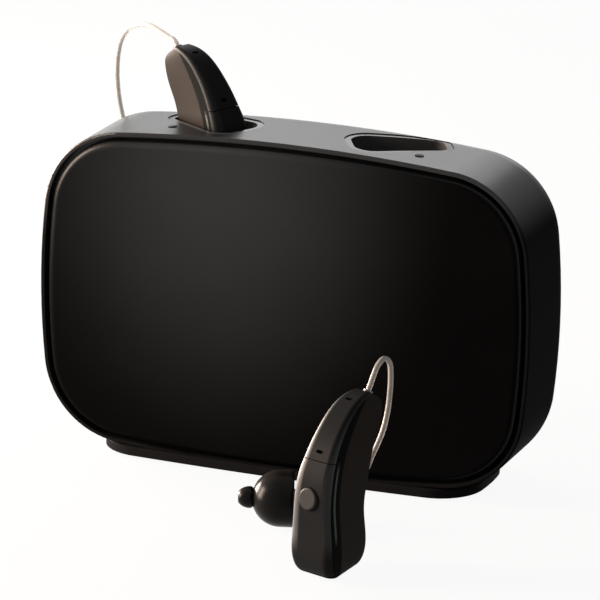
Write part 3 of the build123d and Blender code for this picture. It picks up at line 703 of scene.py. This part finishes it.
# ---- Circuit boards and power inlet ----
# Green solder mask over fine tracks. The inlet's shell is drawn and plated metal round a tongue.
def circuit(name, centre, turn, pitch):
    """Solder mask with tracks that run in steps of this pitch, showing lighter and raised."""
    track_width, track_run = 0.1 * pitch, 4 * pitch
    paint = Paint(bpy.data.materials.new(name))
    tracks = paint.node(
        "ShaderNodeTexBrick",
        {"offset": 0.5, "squash": 1.6, "squash_frequency": 3},
        {
            "Vector": paint.place(centre, turn),
            "Color1": (0, 0, 0, 1),
            "Color2": (0.25, 0.25, 0.25, 1),
            "Mortar": (1, 1, 1, 1),
            "Scale": 1.0,
            "Mortar Size": track_width,
            "Brick Width": track_run,
            "Row Height": pitch,
        },
    )
    cloud = paint.noise(paint.place(), size=0.0015)
    mask = paint.mix(cloud, dark=(0.006, 0.07, 0.028), light=(0.010, 0.10, 0.040))
    return paint.surface(
        Base_Color=paint.mix(tracks, mask, light=(0.03, 0.22, 0.09)),
        Roughness=cloud.between(0.24, 0.36),
        Coat_Weight=0.3,
        Normal=paint.bump(tracks, depth=0.00003),
    )


board_middle = (0.0, 0.0006, 0.0175)
dress(circuit("main_board_mask", board_middle, turn=(radians(90), 0, 0), pitch=0.0013), "main_board")
for side in sides:
    board = f"{side}_aid_board"
    facing = (radians(90), 0, -aid_place[side].to_euler().z)
    dress(circuit(f"{side}_board_mask", middle(board), turn=facing, pitch=0.0006), board)
dress(
    metal(
        "inlet_shell", dark=(0.50, 0.50, 0.51), light=(0.66, 0.66, 0.67),
        roughness=0.2, grain_size=0.0008, grain_depth=0.000006, stretch=(1, 0.1, 1),
    ),
    "power_inlet",
)


# ---- Hearing aids ----
# The flanks and belly are lacquered in a pearl grey-brown. Along the spine their colour is painted
# near black: painted shade for the flank's turn towards the spine, which is not modelled. The spine
# is two satin covers: the upper one has the microphone ports, the lower one the push button.
def own_place(paint, side):
    """Coordinates in an aid's own frame, in which it was drawn upright."""
    seat = aid_place[side]
    return paint.node(
        "ShaderNodeMapping",
        {"vector_type": "TEXTURE"},
        {"Vector": paint.place(), "Location": seat.to_translation(), "Rotation": seat.to_euler()},
    )


# Above the bend the spine curves back, by its curve times the square of the height above the bend
bend_height = 0.010
spine_curve = 31.0
# Where the painted shade along the spine gives way to the pearl finish, measured behind the spine
shade_wrap_start, shade_wrap_stop = 0.0034, 0.0041
ridge_front = (0.0019, 0.0022)
ridge_back = (0.0024, 0.0027)
ridge_bottom = (0.005, 0.007)
ridge_top_above_bend = (0.006, 0.008)
ridge_coat = 0.4
painted_shade_wrap = (0.0032, 0.0034, 0.0033)
flake_share = 0.4
flake_dulling = 0.12
for side in sides:
    # a fine-flaked pearl finish, a band of painted shade that follows the spine, and a polished ridge
    paint = Paint(bpy.data.materials.new(f"{side}_flank_lacquer_and_shade"))
    place = paint.place()
    own = own_place(paint, side)
    drift = paint.noise(place, size=0.008)
    flake = paint.noise(place, size=0.00009, detail=1.0)
    height = paint.along(own, "Z")
    above_bend = (height - bend_height).at_least(0.0)
    behind_spine = paint.along(own, "Y") - above_bend * above_bend * spine_curve
    pearl_past_shade = paint.fade(behind_spine, shade_wrap_start, shade_wrap_stop)
    ridge = paint.fade(behind_spine, *ridge_front) * (1.0 - paint.fade(behind_spine, *ridge_back))
    ridge_below_tip = 1.0 - paint.fade(above_bend, *ridge_top_above_bend)
    ridge_span = paint.fade(height, *ridge_bottom) * ridge_below_tip
    pearl_share = flake * flake_share + drift * (1 - flake_share)
    pearl = paint.mix(pearl_share, dark=(0.0130, 0.0108, 0.0092), light=(0.0215, 0.0178, 0.0150))
    dress(
        paint.surface(
            # near black in the painted shade along the spine, pearl behind it
            Base_Color=paint.mix(pearl_past_shade, painted_shade_wrap, pearl),
            Roughness=pearl_past_shade.between(0.66, 0.36) + flake * flake_dulling,
            Specular_IOR_Level=0.008,
            Coat_Weight=ridge * ridge_span * ridge_coat,
            Coat_Roughness=0.4,
            Normal=paint.bump(flake, depth=0.000002, strength=0.4),
        ),
        f"{side}_aid_shell",
    )

spine_polish = {"left": 0.1, "right": 1.0}
spine_taper = 0.03
spine_taper_start = 0.006
polish_bottom = (0.003, 0.007)
left_edge_reach = (0.0018, 0.0025)
right_edge_reach = (0.0026, 0.0032)
right_edge_coat = 0.35
for side in sides:
    # the covers' long edges are more polished than the strip between them
    paint = Paint(bpy.data.materials.new(f"{side}_spine_plastic"))
    place = paint.place()
    own = own_place(paint, side)
    drift = paint.noise(place, size=0.011, detail=3.0)
    grain = paint.noise(place, size=0.00012)
    across, height = paint.along(own, "X"), paint.along(own, "Z")
    narrowing = (height - spine_taper_start) * spine_taper
    above_foot = paint.fade(height, *polish_bottom)
    left_edge = paint.fade(narrowing - across, *left_edge_reach)
    right_edge = paint.fade(narrowing + across, *right_edge_reach)
    edge_coat = left_edge + right_edge * right_edge_coat
    dress(
        paint.surface(
            Base_Color=paint.mix(
                drift, dark=(0.0085, 0.0090, 0.0096), light=(0.0130, 0.0137, 0.0145)
            ),
            Roughness=drift.between(0.28, 0.38),
            Specular_IOR_Level=0.015,
            Coat_Weight=edge_coat * above_foot * spine_polish[side],
            Coat_Roughness=0.56,
            Normal=paint.bump(grain, depth=0.000006, strength=0.5),
        ),
        f"{side}_aid_mic_cover", f"{side}_aid_button_cover",
    )
dress(
    moulded(
        "button_plastic", dark=(0.022, 0.022, 0.022), light=(0.032, 0.032, 0.032),
        roughness=0.42, grain_size=0.0001, grain_depth=0.000008, Specular_IOR_Level=0.06,
    ),
    *[f"{side}_aid_push_button" for side in sides],
)
dress(
    moulded(
        "plug_plastic", dark=(0.030, 0.028, 0.026), light=(0.050, 0.046, 0.042),
        roughness=0.3, grain_size=0.0002, grain_depth=0.000006, Coat_Weight=0.3,
    ),
    *[f"{side}_aid_wire_plug" for side in sides],
)

# ---- Inside the aids ----
# A steel-canned cell, two microphones and a dome switch stand on the folded board behind the spine.
# The receiver's grey capsule shows at the open end of the ear dome.
dress(
    metal(
        "battery_can", dark=(0.52, 0.52, 0.53), light=(0.72, 0.72, 0.73),
        roughness=0.22, grain_size=0.0006, grain_depth=0.000006, stretch=(1, 1, 0.08),
    ),
    *[f"{side}_aid_battery" for side in sides],
)
# The microphones and the switch are near-black metal. This is painted shade, so that the ports in the
# spine read dark.
dress(
    metal(
        "capsule_metal_painted_dark", dark=(0.030, 0.030, 0.031), light=(0.060, 0.060, 0.062),
        roughness=0.45, grain_size=0.0003, grain_depth=0.000004,
    ),
    *[f"{side}_aid_{part}" for side in sides for part in ("switch", "front_mic", "rear_mic")],
)
dress(
    moulded(
        "receiver_shell", dark=(0.10, 0.10, 0.105), light=(0.15, 0.15, 0.155),
        roughness=0.3, grain_size=0.0002, grain_depth=0.000006, Coat_Weight=0.3,
    ),
    *[f"{side}_aid_receiver" for side in sides],
)
